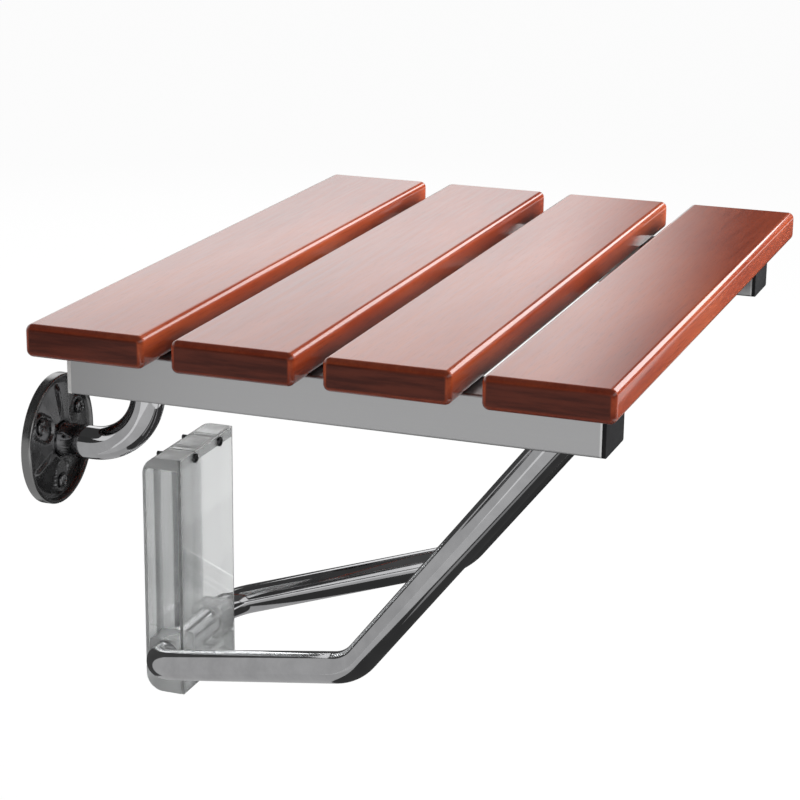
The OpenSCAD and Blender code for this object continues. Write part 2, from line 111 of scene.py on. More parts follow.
class Graph:
    """A node tree with one method that adds any node."""

    def __init__(self, tree):
        self.tree = tree

    def add(self, kind, settings, inputs, output=0):
        node = self.tree.nodes.new(kind)
        for key, value in settings.items():
            if key == "stops":
                elements = node.color_ramp.elements
                while len(elements) < len(value):
                    elements.new(0.5)
                for element, (place, colour) in zip(elements, value):
                    element.position, element.color = place, (*colour, 1.0)
            else:
                setattr(node, key, value)
        for key, value in inputs.items():
            socket = pick(node.inputs, key)
            if isinstance(value, Wire):
                self.tree.links.new(value.socket, socket)
            else:
                socket.default_value = value
        return Wire(self, node.outputs[output]) if len(node.outputs) else node


print("wrapped:", Wire.__name__, "and", Graph.__name__)

# %% [markdown]
# ## Growing a piece with Geometry Nodes
#
# Slats, screws and tubes repeat a shape or follow a path, and that is what Geometry Nodes are for. The
# helper below runs a tree on a starting mesh, with its sizes as named inputs, and then keeps the result
# as a plain mesh. The tree is thrown away after that, so the finished piece is ordinary geometry whose
# place is in its vertices.

# %% Grow a plain mesh from a tree
SOCKET_TYPES = {int: "NodeSocketInt", float: "NodeSocketFloat", tuple: "NodeSocketVector",
                bpy.types.Object: "NodeSocketObject", bpy.types.Mesh: "NodeSocketGeometry"}


def grow(name, build, sizes, material, start=None):
    """Run the tree that build makes, with sizes as its inputs, and keep the result as a plain mesh."""
    tree = bpy.data.node_groups.new(name, "GeometryNodeTree")
    tree.interface.new_socket("Geometry", in_out="INPUT", socket_type="NodeSocketGeometry")
    tree.interface.new_socket("Geometry", in_out="OUTPUT", socket_type="NodeSocketGeometry")
    names = {}
    for label, value in sizes.items():
        item = tree.interface.new_socket(label, in_out="INPUT", socket_type=SOCKET_TYPES[type(value)])
        names[label] = item.identifier
    graph = Graph(tree)
    first = graph.add("NodeGroupInput", {}, {})
    shape = build(graph, first, {label: first.of(label) for label in sizes})
    shape = graph.add("GeometryNodeRealizeInstances", {}, {"Geometry": shape})
    shape = graph.add("GeometryNodeSetMaterial", {}, {"Geometry": shape, "Material": material})
    graph.add("NodeGroupOutput", {}, {"Geometry": shape})
    piece = bpy.data.objects.new(name, start or bpy.data.meshes.new(name))
    bpy.context.scene.collection.objects.link(piece)
    modifier = piece.modifiers.new("grow", "NODES")
    modifier.node_group = tree
    for label, value in sizes.items():
        modifier[names[label]] = value
    grown = bpy.data.meshes.new_from_object(piece.evaluated_get(bpy.context.evaluated_depsgraph_get()))
    piece.modifiers.remove(modifier)
    piece.data = grown
    print(f"{name}: {len(grown.polygons)} faces")
    return piece


# %% [markdown]
# ## The studio
#
# The photograph was taken from the left end of the seat, a little above it, with a long lens, and its
# background is plain white. A camera that was fitted to the slats' corners gives the angle and the lens.
# The world is white for what the camera, the steel and the clear plastic see, and a plain grey level for
# the light that it gives. Two soft lamps add the rest. Reflections don't see them, because a lamp mirrored
# in the lacquer would burn a slat's edge out.
#
# Polished steel has nothing to show unless something dark stands around it, and lacquer shows the sheen of
# whatever stands beyond it. So cards stand there as they do in a real studio: a feathered white one beyond
# the seat, a grey one where the wall would be, and dark ones overhead, in front and below. A small one
# under the seat keeps the wood's red out of the tubes. Only reflections see the cards.

# %% Camera
AZIMUTH, ELEVATION, ROLL = math.radians(-69.83), math.radians(16.90), math.radians(0.62)
LENS, SENSOR = 104.73, 36.0
TARGET = Vector((-0.1039, -0.2173, 0.0315))
DISTANCE = 1.5113

back = Vector((
    math.sin(AZIMUTH) * math.cos(ELEVATION),
    -math.cos(AZIMUTH) * math.cos(ELEVATION),
    math.sin(ELEVATION),
))
camera = bpy.data.objects.new("camera", bpy.data.cameras.new("camera"))
bpy.context.scene.collection.objects.link(camera)
camera.data.lens, camera.data.sensor_width = LENS, SENSOR
camera.matrix_world = (
    Matrix.Translation(TARGET + back * DISTANCE)
    @ back.to_track_quat("Z", "Y").to_matrix().to_4x4()
    @ Matrix.Rotation(ROLL, 4, "Z")
)
bpy.context.scene.camera = camera
print("camera stands at", [round(c, 3) for c in camera.matrix_world.translation])

# %% World and view
scene = bpy.context.scene
scene.view_settings.view_transform = "Standard"
LIGHT_LEVEL, WHITE = 0.55, (1.0, 1.0, 1.0, 1.0)


def seen_directly(graph):
    """1 for what the camera sees by itself, in a reflection or through clear plastic, and 0 for light."""
    path = graph.add("ShaderNodeLightPath", {}, {})
    return path.of("Is Camera Ray").most(path.of("Is Glossy Ray")).most(path.of("Is Transmission Ray"))


world = bpy.data.worlds.new("studio")
scene.world = world
world.use_nodes = True
world.node_tree.nodes.clear()
sky = Graph(world.node_tree)
strength = LIGHT_LEVEL + seen_directly(sky) * (1.0 - LIGHT_LEVEL)
white = sky.add("ShaderNodeBackground", {}, {"Color": WHITE, "Strength": strength})
sky.add("ShaderNodeOutputWorld", {}, {"Surface": white})
print("world gives", LIGHT_LEVEL, "and shows 1.0")

# %% Lamps, cards and floor
FLOOR_COLOUR, FLOOR_GLOW = (0.92, 0.92, 0.92, 1.0), 0.94
GAIN_FOOT, GAIN_TOP = 0.30, 0.86


def stage_mesh(name, corners, material):
    mesh = bpy.data.meshes.new(name)
    mesh.from_pydata([tuple(c) for c in corners], [], [tuple(range(len(corners)))])
    mesh.materials.append(material)
    thing = bpy.data.objects.new(name, mesh)
    scene.collection.objects.link(thing)
    return thing


def lamp(name, place, aim, width, height, watts):
    """A rectangular soft lamp that the camera doesn't see."""
    data = bpy.data.lights.new(name, "AREA")
    data.shape, data.size, data.size_y, data.energy = "RECTANGLE", width, height, watts
    thing = bpy.data.objects.new(name, data)
    thing.location = place
    thing.rotation_euler = (Vector(aim) - Vector(place)).to_track_quat("-Z", "Y").to_euler()
    scene.collection.objects.link(thing)
    thing.visible_camera = False
    return thing


def white_glow(name, strength):
    material = bpy.data.materials.new(name)
    material.use_nodes = True
    material.node_tree.nodes.clear()
    graph = Graph(material.node_tree)
    glow = graph.add("ShaderNodeEmission", {}, {"Color": WHITE, "Strength": strength})
    graph.add("ShaderNodeOutputMaterial", {}, {"Surface": glow})
    return material


def floor_paint():
    """White with the seat's soft shadow where the camera looks from above, and clear from below."""
    material = bpy.data.materials.new("floor_paint")
    material.use_nodes = True
    material.node_tree.nodes.clear()
    graph = Graph(material.node_tree)
    matt = graph.add("ShaderNodeBsdfDiffuse", {}, {"Color": FLOOR_COLOUR})
    white = graph.add("ShaderNodeEmission", {}, {"Color": WHITE, "Strength": 1.0})
    top = graph.add("ShaderNodeMixShader", {}, {0: seen_directly(graph) * FLOOR_GLOW, 1: matt, 2: white})
    under = graph.add("ShaderNodeBsdfTransparent", {}, {})
    back_face = graph.add("ShaderNodeNewGeometry", {}, {}).of("Backfacing")
    both = graph.add("ShaderNodeMixShader", {}, {0: back_face, 1: top, 2: under})
    graph.add("ShaderNodeOutputMaterial", {}, {"Surface": both})
    return material


def card_paint(name, dark, bright=None, start=0.0, end=1.0, top_gain=1.0):
    """One level all over, or dark to bright along Y between two places, and more towards the top."""
    material = white_glow(name, dark)
    if bright is not None:
        graph = Graph(material.node_tree)
        place = graph.add("ShaderNodeTexCoord", {}, {}, "Object")
        axes = graph.add("ShaderNodeSeparateXYZ", {}, {"Vector": place})
        gain = axes.of("Z").ramp(GAIN_FOOT, GAIN_TOP, 1.0, top_gain)
        strength = axes.of("Y").ramp(start, end, dark, bright) * gain
        glow = next(n for n in graph.tree.nodes if n.type == "EMISSION")
        graph.tree.links.new(strength.socket, glow.inputs["Strength"])
    return material


def upright(start, end, bottom, top):
    """The corners of a card that stands over a line on the floor."""
    return [(*start, bottom), (*end, bottom), (*end, top), (*start, top)]


def level(x, y, height):
    """The corners of a card that lies level over a span in X and one in Y."""
    return [(x[0], y[0], height), (x[1], y[0], height), (x[1], y[1], height), (x[0], y[1], height)]


def card(name, corners, dark, **ramp):
    """A card that only reflections see: it neither shows itself nor lights or shades the seat."""
    thing = stage_mesh(name, corners, card_paint(name + "_glow", dark, **ramp))
    thing.visible_camera = thing.visible_diffuse = thing.visible_transmission = False
    thing.visible_shadow = thing.visible_volume_scatter = False


FLOOR, WIDE = -0.42, 30
stage_mesh("floor", level((-WIDE, WIDE), (-WIDE, WIDE), FLOOR), floor_paint())
far_lamp = lamp("far_softbox", place=(2.2, 1.15, 0.95), aim=(0.0, -0.2, 0.1),
                width=1.6, height=1.3, watts=18)
near_lamp = lamp("near_softbox", place=(1.15, -1.35, 0.42), aim=(0.1, -0.3, 0.0),
                 width=1.0, height=0.8, watts=60)
far_lamp.visible_glossy = near_lamp.visible_glossy = False

FAR, LOW, HIGH = 2.6, -0.41, 2.4
WALL, WALL_EDGE, WALL_SPAN = 0.12, -0.06, (-0.40, 0.06)
UNDER_LEG, UNDER_FLANGE = -0.405, -0.30
card("feathered_card", upright((FAR, 0.05), (FAR, 3.2), LOW, HIGH), 0.02,
     bright=0.92, start=0.06, end=0.52, top_gain=1.40)
card("far_dark_card", upright((FAR, -3.0), (FAR, 0.05), -0.2, HIGH), 0.02)
card("edge_light_card", upright((2.5, -1.9), (2.5, -0.45), 0.62, 1.45), 3.4)
card("left_dark_card", upright((-1.3, -0.1), (-1.3, 0.9), 0.0, 2.0), 0.05)
card("ceiling_card", level((-2.4, 2.0), (-2.4, 2.4), 2.0), 0.06)
card("front_dark_card", upright((-2.0, -1.3), (0.5, -1.3), -0.335, 0.30), 0.05)
card("wall_card", upright((-0.60, WALL), (WALL_EDGE, WALL), *WALL_SPAN), 0.52)
card("wall_dark_card", upright((WALL_EDGE, WALL), (2.4, 0.5), *WALL_SPAN), 0.07)
card("floor_grey_card", level((-1.1, -0.32), (-0.8, 0.12), -0.406), 0.60)
card("leg_dark_card", level((-0.32, 0.62), (-0.75, -0.08), UNDER_LEG), 0.05)
card("leg_stripe_card", level((-0.275, -0.205), (-0.75, -0.25), UNDER_LEG + 2 * MM), 0.30)
card("foot_grey_card", level((-0.32, 0.30), (-0.08, 0.30), UNDER_LEG), 0.50)
card("foot_dark_card", level((0.30, 1.2), (-0.08, 0.40), UNDER_LEG), 0.06)
card("under_seat_card", level((-0.15, 0.15), (-0.38, -0.05), 0.046), 0.10)
card("flange_grey_card", level((0.45, 1.0), (-0.50, -0.26), UNDER_FLANGE + 2 * MM), 0.34)
card("flange_dark_card", level((0.26, 2.5), (-1.6, -0.12), UNDER_FLANGE), 0.03,
     bright=0.62, start=-0.815, end=-0.835)

# %% [markdown]
# ## The lacquered wood
#
# The slats have a deep reddish brown stain under a thick clear lacquer. The colour is darker in long
# pores and lighter in broad cloudy figure, both stretched along the slat, and no two slats are quite the
# same. Painted shade darkens each slat towards its lower edge, except on the seat's front face away from
# the ends, and a band of painted shade runs along the top edge of the ends. The sawn ends take up the
# stain and stay dark and nearly matt. The lacquer is the Principled shader's coat. It is almost smooth,
# with the faint ripple that a sprayed lacquer keeps.

# %% Wood under lacquer
def paint(name, **values):
    """A new material with a Principled shader whose plain values are set on its own sockets."""
    material = bpy.data.materials.new(name)
    material.use_nodes = True
    material.node_tree.nodes.clear()
    graph = Graph(material.node_tree)
    shader = graph.tree.nodes.new("ShaderNodeBsdfPrincipled")
    for key, value in values.items():
        pick(shader.inputs, key.replace("_", " ")).default_value = value
    graph.add("ShaderNodeOutputMaterial", {}, {"Surface": Wire(graph, shader.outputs[0])})
    place = graph.add("ShaderNodeTexCoord", {}, {}, "Object")
    return material, graph, shader, place


def feed(graph, shader, **wires):
    """Link wires to the shader's sockets of the same names."""
    for key, wire in wires.items():
        graph.tree.links.new(wire.socket, pick(shader.inputs, key.replace("_", " ")))


def stretched(graph, place, scale):
    """Coordinates scaled by axis. A texture is long along the axis with the smallest scale."""
    return graph.add("ShaderNodeMapping", {"vector_type": "POINT"}, {"Vector": place, "Scale": scale})


def noise(graph, vector, scale, detail=3.0, roughness=0.5):
    return graph.add("ShaderNodeTexNoise", {},
                     {"Vector": vector, "Scale": scale, "Detail": detail, "Roughness": roughness})


SLAT_PITCH, SLAT_GAP, WALL_GAP = 98 * MM, 18 * MM, 27 * MM
SLAT_END, SLAT_FOOT, SLAT_TOP, SEAT_FRONT = 254 * MM, 79 * MM, 100 * MM, -401 * MM
WOOD_DARK, WOOD_MID, WOOD_LIGHT = (0.22, 0.030, 0.011), (0.33, 0.053, 0.018), (0.42, 0.084, 0.029)
PORE_TINT, PAINTED_SHADE_TINT = (0.35, 0.25, 0.22, 1.0), (0.26, 0.16, 0.12, 1.0)
END_DARK, END_LIGHT = (0.060, 0.011, 0.006, 1.0), (0.115, 0.023, 0.012, 1.0)

wood, graph, shader, place = paint(
    "lacquered_wood", IOR=1.5, Specular_IOR_Level=0.12, Coat_Roughness=0.06, Coat_IOR=1.62,
)
axes = graph.add("ShaderNodeSeparateXYZ", {}, {"Vector": place})
end_grain = abs(axes.of("X")).ramp(SLAT_END - 0.45 * MM, SLAT_END - 0.05 * MM)
end_gloss = abs(axes.of("X")).ramp(SLAT_END - 1.5 * MM, SLAT_END - 0.5 * MM)
which = ((axes.of("Y") * -1.0 - WALL_GAP + SLAT_GAP / 2) / SLAT_PITCH).floor()
tint = graph.add("ShaderNodeTexWhiteNoise", {"noise_dimensions": "1D"}, {"W": which}, "Value")
cloud = noise(graph, stretched(graph, place, (3.0, 11.0, 11.0)), 1.6, 4.0, 0.55)
fibre = noise(graph, stretched(graph, place, (14.0, 260.0, 260.0)), 1.0, 5.0, 0.62)
pores = noise(graph, stretched(graph, place, (60.0, 1500.0, 1500.0)), 1.0, 2.0, 0.5)
speckle = noise(graph, stretched(graph, place, (900.0, 22.0, 260.0)), 1.0, 4.0, 0.6)
mix = cloud * 0.62 + fibre * 0.38 + (tint - 0.5) * 0.10
colour = graph.add(
    "ShaderNodeValToRGB",
    {"stops": [(0.30, WOOD_DARK), (0.48, WOOD_MID), (0.66, WOOD_LIGHT)]},
    {"Fac": mix},
)
darker = graph.add(
    "ShaderNodeMix", {"data_type": "RGBA", "blend_type": "MULTIPLY"},
    {"Factor": pores.ramp(0.56, 0.70, 0.0, 0.45), "A": colour, "B": PORE_TINT}, 2,
)
ends = graph.add(
    "ShaderNodeMix", {"data_type": "RGBA"},
    {"Factor": speckle.ramp(0.32, 0.68), "A": END_DARK, "B": END_LIGHT}, 2,
)
across, height = abs(axes.of("X")), axes.of("Z")
# Painted shade: darker towards each slat's lower edge, except on the seat's front face away from the ends,
# and a darker band along the top edge of the ends.
behind_front = axes.of("Y").ramp(SEAT_FRONT + 5 * MM, SEAT_FRONT + 10 * MM)
near_end = across.ramp(SLAT_END - 5 * MM, SLAT_END - 2 * MM)
low_painted_shade = height.ramp(SLAT_FOOT, SLAT_FOOT + 13 * MM, 0.80, 0.0) * behind_front.most(near_end)
at_end = across.ramp(SLAT_END - 4.2 * MM, SLAT_END - 2.2 * MM)
end_painted_shade = at_end * height.ramp(SLAT_TOP - 5.5 * MM, SLAT_TOP - 3 * MM) * 0.6
with_painted_shade = graph.add(
    "ShaderNodeMix", {"data_type": "RGBA", "blend_type": "MULTIPLY"},
    {"Factor": low_painted_shade.most(end_painted_shade), "A": darker, "B": PAINTED_SHADE_TINT}, 2,
)
shown = graph.add("ShaderNodeMix", {"data_type": "RGBA"}, {"Factor": end_grain, "A": with_painted_shade, "B": ends}, 2)
ripple = noise(graph, place, 55.0, 2.0, 0.4)
dent = graph.add("ShaderNodeBump", {}, {"Strength": 0.035, "Distance": MM, "Height": ripple + fibre * 0.15})
feed(graph, shader, Base_Color=shown, Normal=dent, Roughness=fibre.ramp(0.3, 0.7, 0.30, 0.40),
     Coat_Weight=1.0 - end_gloss * 0.95)
print("wood nodes:", len(graph.tree.nodes))

# %% [markdown]
# ## The metals
#
# Polished steel is a mirror whose colour is a neutral grey, with faint unevenness that widens its
# highlights here and there. The rails are duller, with a fine brushed finish along their length and a
# painted highlight on the last millimetre of the front end. The wall flanges are a darker chrome, with a
# painted highlight on the outside of the rim and a thin one along the rim's inner edge. All of them come
# from one recipe with different numbers.

# %% Steel finishes
RAIL_FRONT, POST_SIDE = -385.5, 172.0
FLANGE_RADIUS, RIM_WIDTH, RIM_HEIGHT = 43.5, 3.0, 7.0


def rail_front_highlight(axes):
    """A painted highlight on the last millimetre at a rail's front end."""
    return axes.of("Y").ramp((RAIL_FRONT + 1.5) * MM, (RAIL_FRONT + 0.9) * MM)


def flange_rim_highlight(axes):
    """Painted highlight on the outside of a flange's rim, and a thin painted highlight along the rim's inner
    edge.
    """
    across, height = abs(axes.of("X")) - POST_SIDE * MM, axes.of("Z")
    radius = (across * across + height * height) ** 0.5
    near_wall = axes.of("Y").ramp((-RIM_HEIGHT - 1.0) * MM, (-RIM_HEIGHT - 0.5) * MM)
    inner = FLANGE_RADIUS - RIM_WIDTH
    inner_highlight = radius.ramp((inner - 0.6) * MM, (inner - 0.2) * MM)
    inner_highlight = inner_highlight * radius.ramp((inner + 0.7) * MM, (inner + 0.3) * MM)
    outside = radius.ramp((FLANGE_RADIUS - 1.1) * MM, (FLANGE_RADIUS - 0.5) * MM)
    return outside.most(inner_highlight * 0.8) * near_wall


def steel(name, dark, light, roughness, brushed, blotch=6.0, lines=0.02,
          bright_part=None, bright=0.55, spread=0.3):
    """Steel whose tone and roughness wander a little. A bright part is a function that gives the mask of a
    painted highlight.
    """
    material, graph, shader, place = paint(name, Metallic=1.0)
    along = noise(graph, stretched(graph, place, brushed), 1.0, 3.0, 0.6)
    smudge = noise(graph, place, blotch, 3.0, 0.5)
    tone = along * 0.5 + smudge * 0.5
    colour = graph.add(
        "ShaderNodeMix", {"data_type": "RGBA"},
        {"Factor": tone.ramp(0.35, 0.65), "A": (*dark, 1.0), "B": (*light, 1.0)}, 2,
    )
    if bright_part:
        axes = graph.add("ShaderNodeSeparateXYZ", {}, {"Vector": place})
        colour = graph.add(
            "ShaderNodeMix", {"data_type": "RGBA"},
            {"Factor": bright_part(axes), "A": colour, "B": (bright, bright, bright, 1.0)}, 2,
        )
    dent = graph.add("ShaderNodeBump", {}, {"Strength": lines, "Distance": 0.0005, "Height": along})
    smooth, rough = roughness * (1.0 - spread), roughness * (1.0 + spread)
    feed(graph, shader, Base_Color=colour, Normal=dent,
         Roughness=(along * 0.6 + smudge * 0.4).ramp(0.3, 0.7, smooth, rough))
    return material


polished = steel("polished_steel", (0.50, 0.50, 0.51), (0.60, 0.60, 0.61), 0.07, (60.0, 60.0, 60.0))
# The rails' front ends get a painted highlight.
satin = steel("satin_rail_steel", (0.392, 0.392, 0.396), (0.402, 0.402, 0.406), 0.32, (900.0, 5.0, 900.0),
              lines=0.002, bright_part=rail_front_highlight, bright=0.60, spread=0.06)
# The flanges get a painted highlight on the outside of the rim and along its inner edge.
chrome = steel("dark_chrome", (0.125, 0.125, 0.128), (0.21, 0.21, 0.214), 0.25, (90.0, 90.0, 90.0),
               blotch=25.0, bright_part=flange_rim_highlight, bright=0.29)
SCREW_GRAIN = (300.0, 300.0, 300.0)
black_steel = steel("black_screw_steel", (0.035, 0.035, 0.037), (0.10, 0.10, 0.103), 0.24, SCREW_GRAIN)
dark_bolt = steel("flange_screw_steel", (0.10, 0.10, 0.103), (0.26, 0.26, 0.265), 0.20, SCREW_GRAIN)
bolt_steel = steel("screw_steel", (0.22, 0.22, 0.23), (0.40, 0.40, 0.41), 0.22, SCREW_GRAIN)
print("steels:", [m.name for m in (polished, satin, chrome, black_steel, dark_bolt, bolt_steel)])

# %% [markdown]
# ## The plastics
#
# The rails' front caps and the tubes' plugs are black moulded plastic with a fine grain. The rear caps are
# the same in a pale tone and the bushes in grey. The guide on the wall is clear plastic: a Principled
# shader that mostly transmits, with a trace of grey and shallow upright folds in its bump. Its outer sides
# and top were sawn, so they are duller.

# %% Moulded and clear plastic
MOULD_GRAIN = 900.0
FOLD_PITCH, FINE_FOLD = 15 * MM, 2.7
GUIDE_SIDE, GUIDE_TOP = 45 * MM, -52 * MM


def moulded(name, low, high, roughness):
    """Opaque moulded plastic between two close tones, with a fine grain."""
    material, graph, shader, place = paint(name, IOR=1.46, Specular_IOR_Level=0.14)
    fine = noise(graph, place, MOULD_GRAIN, 2.0, 0.5)
    broad = noise(graph, place, 30.0, 2.0, 0.5)
    colour = graph.add(
        "ShaderNodeMix", {"data_type": "RGBA"},
        {"Factor": broad.ramp(0.3, 0.7), "A": (*low, 1.0), "B": (*high, 1.0)}, 2,
    )
    dent = graph.add("ShaderNodeBump", {}, {"Strength": 0.25, "Distance": 0.0001, "Height": fine})
    feed(graph, shader, Base_Color=colour, Normal=dent,
         Roughness=broad.ramp(0.3, 0.7, roughness, roughness + 0.12))
    return material


def clear(name, colour, roughness, transmission, folded=0.0, sawn=0.0):
    """Clear plastic with upright folds this deep, whose sawn faces are this much rougher."""
    material, graph, shader, place = paint(
        name, IOR=1.49, Transmission_Weight=transmission, Base_Color=(*colour, 1.0))
    flow = noise(graph, stretched(graph, place, (14.0, 14.0, 5.0)), 1.0, 2.0, 0.4)
    axes = graph.add("ShaderNodeSeparateXYZ", {}, {"Vector": place})
    across = axes.of("X")
    cut_side = abs(across).ramp(GUIDE_SIDE - 0.5 * MM, GUIDE_SIDE - 0.1 * MM)
    cut_face = cut_side.most(axes.of("Z").ramp(GUIDE_TOP - MM, GUIDE_TOP - 0.3 * MM))
    turns = across * (2 * math.pi / FOLD_PITCH)
    folds = turns.wave() + (turns * FINE_FOLD).wave() * 0.4
    dent = graph.add("ShaderNodeBump", {},
                     {"Strength": 0.3, "Distance": MM, "Height": flow * 0.3 + folds * folded})
    feed(graph, shader, Normal=dent,
         Roughness=flow.ramp(0.3, 0.7, roughness, roughness + 0.04) + cut_face * sawn)
    return material


black = moulded("black_plastic", (0.006, 0.006, 0.007), (0.012, 0.012, 0.013), 0.30)
pale = moulded("pale_plastic", (0.62, 0.62, 0.61), (0.70, 0.70, 0.69), 0.35)
grey = moulded("bush_plastic", (0.10, 0.10, 0.10), (0.15, 0.15, 0.15), 0.45)
guide_clear = clear("clear_guide", (0.60, 0.61, 0.61), 0.14, 0.75, folded=0.12, sawn=0.45)
cover_clear = clear("clear_cover", (0.70, 0.71, 0.71), 0.04, 0.92, sawn=0.3)
slide_clear = clear("milky_slide", (0.80, 0.81, 0.81), 0.25, 0.75)
print("plastics:", [m.name for m in (black, pale, grey, guide_clear, cover_clear, slide_clear)])

# %% [markdown]
# ## Finishes on the frame's own solids
#
# Small pieces whose measured shape is right keep it and only get a finish.

# %% Give the frame's solids their finishes
def finish_nodes(names, material):
    """Give the solids of these nodes one material."""
    for name in names:
        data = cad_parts[name].data
        data.materials.clear()
        data.materials.append(material)


def both(name):
    return ["left_" + name, "right_" + name]


finish_nodes(both("rail") + both("leg_bracket"), satin)
finish_nodes(both("rear_cap"), pale)
finish_nodes(both("front_cap") + both("post_plug") + both("leg_plug"), black)
finish_nodes(both("post_bush") + both("leg_bush"), grey)
finish_nodes(both("leg_pin") + both("pivot_stud") + both("pivot_nut"), bolt_steel)
finish_nodes(both("flange"), chrome)
finish_nodes(["guide_body"], guide_clear)
finish_nodes(["guide_cover"], cover_clear)
finish_nodes(both("slide_bush"), slide_clear)
finish_nodes(both("flange_screws") + both("slat_screws") + ["guide_screws"], bolt_steel)
finish_nodes(both("post") + ["support_leg"], polished)
finish_nodes([f"slat_{i}" for i in range(1, 5)], wood)
print("finishes set on", len(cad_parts), "solids")

# %% [markdown]
# ## The slats
#
# A slat is a board with every edge rounded over. A Bevel modifier could do that, but four equal boards
# in a row are a rule, so one tree makes a rounded box and repeats it. A cube's points are turned on to a
# ball of the rounding's size, and the ball's eight parts are then moved out to the slat's corners, so the
# middle rows of faces stretch into the flat sides.

# %% Four rounded slats
ROUND_STEPS = 6


def rounded_boards(graph, first, size):
    """A row of boards of one length, width and thickness, with every edge rounded."""
    rows = 2 * ROUND_STEPS + 2
    cube = graph.add(
        "GeometryNodeMeshCube", {},
        {"Size": (rows - 1,) * 3, "Vertices X": rows, "Vertices Y": rows, "Vertices Z": rows}, "Mesh",
    )
    point = graph.add("ShaderNodeSeparateXYZ", {}, {"Vector": graph.add("GeometryNodeInputPosition", {}, {})})
    sides = [point.of(axis) for axis in "XYZ"]
    signs = [side.sign() for side in sides]
    turns = [side.maths("TANGENT", (abs(side) - 0.5) * (math.pi / 4 / ROUND_STEPS)) for side in sides]
    halves = [size[label] / 2 - size["Round"] for label in ("Length", "Width", "Thickness")]
    out = graph.add("ShaderNodeCombineXYZ", {}, {i: s * t for i, (s, t) in enumerate(zip(signs, turns))})
    out = graph.add("ShaderNodeVectorMath", {"operation": "NORMALIZE"}, {0: out})
    core = graph.add("ShaderNodeCombineXYZ", {}, {i: s * h for i, (s, h) in enumerate(zip(signs, halves))})
    out = graph.add("ShaderNodeVectorMath", {"operation": "SCALE"}, {0: out, "Scale": size["Round"]})
    place = graph.add("ShaderNodeVectorMath", {"operation": "ADD"}, {0: core, 1: out})
    board = graph.add("GeometryNodeSetPosition", {}, {"Geometry": cube, "Position": place})
    board = graph.add("GeometryNodeSetShadeSmooth", {}, {"Geometry": board, "Shade Smooth": True})
    row = graph.add("GeometryNodeMeshLine", {"mode": "OFFSET"},
                    {"Count": size["Count"], "Start Location": size["Start"], "Offset": size["Step"]})
    return graph.add("GeometryNodeInstanceOnPoints", {}, {"Points": row, "Instance": board})


SLAT_COUNT, SLAT_ROUND = 4, 4.6 * MM
low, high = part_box("slat_1")
next_low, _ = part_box("slat_2")
centre = (low + high) / 2
slats = grow(
    "slats", rounded_boards,
    {"Length": high.x - low.x, "Width": high.y - low.y, "Thickness": high.z - low.z, "Round": SLAT_ROUND,
     "Count": SLAT_COUNT, "Start": tuple(centre), "Step": (0.0, next_low.y - low.y, 0.0)},
    wood,
)
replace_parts(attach(slats, "seat"), "slat_1", "slat_2", "slat_3", "slat_4")
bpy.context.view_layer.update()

# %% [markdown]
# ## The bent tubes
#
# The posts and the support leg are one size of tube, bent round a few corners. A tube is a circle swept
# along a path, so the path's corner points are all that has to be given: one node rounds each corner to
# its own bend radius, and another sweeps the circle along it.

# %% Sweep the tubes
def swept(graph, first, size):
    """Tubes along the lines of the start mesh, with each corner rounded by its own radius."""
    bend = graph.add("GeometryNodeInputNamedAttribute", {"data_type": "FLOAT"}, {"Name": "bend"})
    path = graph.add("GeometryNodeMeshToCurve", {}, {"Mesh": first.of("Geometry")})
    path = graph.add("GeometryNodeFilletCurve", {"mode": "POLY"},
                     {"Curve": path, "Count": size["Bend steps"], "Radius": bend})
    ring = graph.add("GeometryNodeCurvePrimitiveCircle", {"mode": "RADIUS"},
                     {"Resolution": size["Sides"], "Radius": size["Radius"]})
    tube = graph.add("GeometryNodeCurveToMesh", {}, {"Curve": path, "Profile Curve": ring, "Fill Caps": True})
    return graph.add("GeometryNodeSetShadeSmooth", {}, {"Geometry": tube, "Shade Smooth": True})


def path_mesh(name, paths):
    """Corner points joined in lines, with each corner's bend radius as an attribute."""
    points = [p for path in paths for p, _ in path]
    edges, first = [], 0
    for path in paths:
        edges += [(first + i, first + i + 1) for i in range(len(path) - 1)]
        first += len(path)
    mesh = bpy.data.meshes.new(name)
    mesh.from_pydata([tuple(c * MM for c in p) for p in points], edges, [])
    radii = mesh.attributes.new("bend", "FLOAT", "POINT")
    radii.data.foreach_set("value", [r * MM for path in paths for _, r in path])
    return mesh


TUBE_RADIUS = 11.0
HINGE_OUT, POST_TOP, POST_BEND, POST_START = 70, 68, 40, 3
EYE, ELBOW, CROSSBAR = Vector((-167, -353, 52)), Vector((-112.5, -188, -158)), (-64, -15, -203)
EYE_LENGTH, ELBOW_BEND, CROSSBAR_BEND = 9.35, 44, 26


def tube(name, paths):
    sizes = {"Radius": TUBE_RADIUS * MM, "Sides": 64, "Bend steps": 28}
    return grow(name, swept, sizes, polished, path_mesh(name + "_path", paths))


def mirrored(path):
    return [((-x, y, z), r) for (x, y, z), r in path]


post_path = [((-POST_SIDE, -POST_START, 0), 0), ((-POST_SIDE, -HINGE_OUT, 0), POST_BEND),
             ((-POST_SIDE, -HINGE_OUT, POST_TOP), 0)]
posts = tube("wall_posts", [post_path, mirrored(post_path)])
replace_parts(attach(posts, "wall_mount"), "left_post", "right_post")

leg_end = EYE + (EYE - ELBOW).normalized() * EYE_LENGTH
leg_half = [(tuple(leg_end), 0), (tuple(ELBOW), ELBOW_BEND), (CROSSBAR, CROSSBAR_BEND)]
leg = tube("bent_leg", [leg_half + mirrored(leg_half)[::-1]])
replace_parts(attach(leg, "leg"), "support_leg")

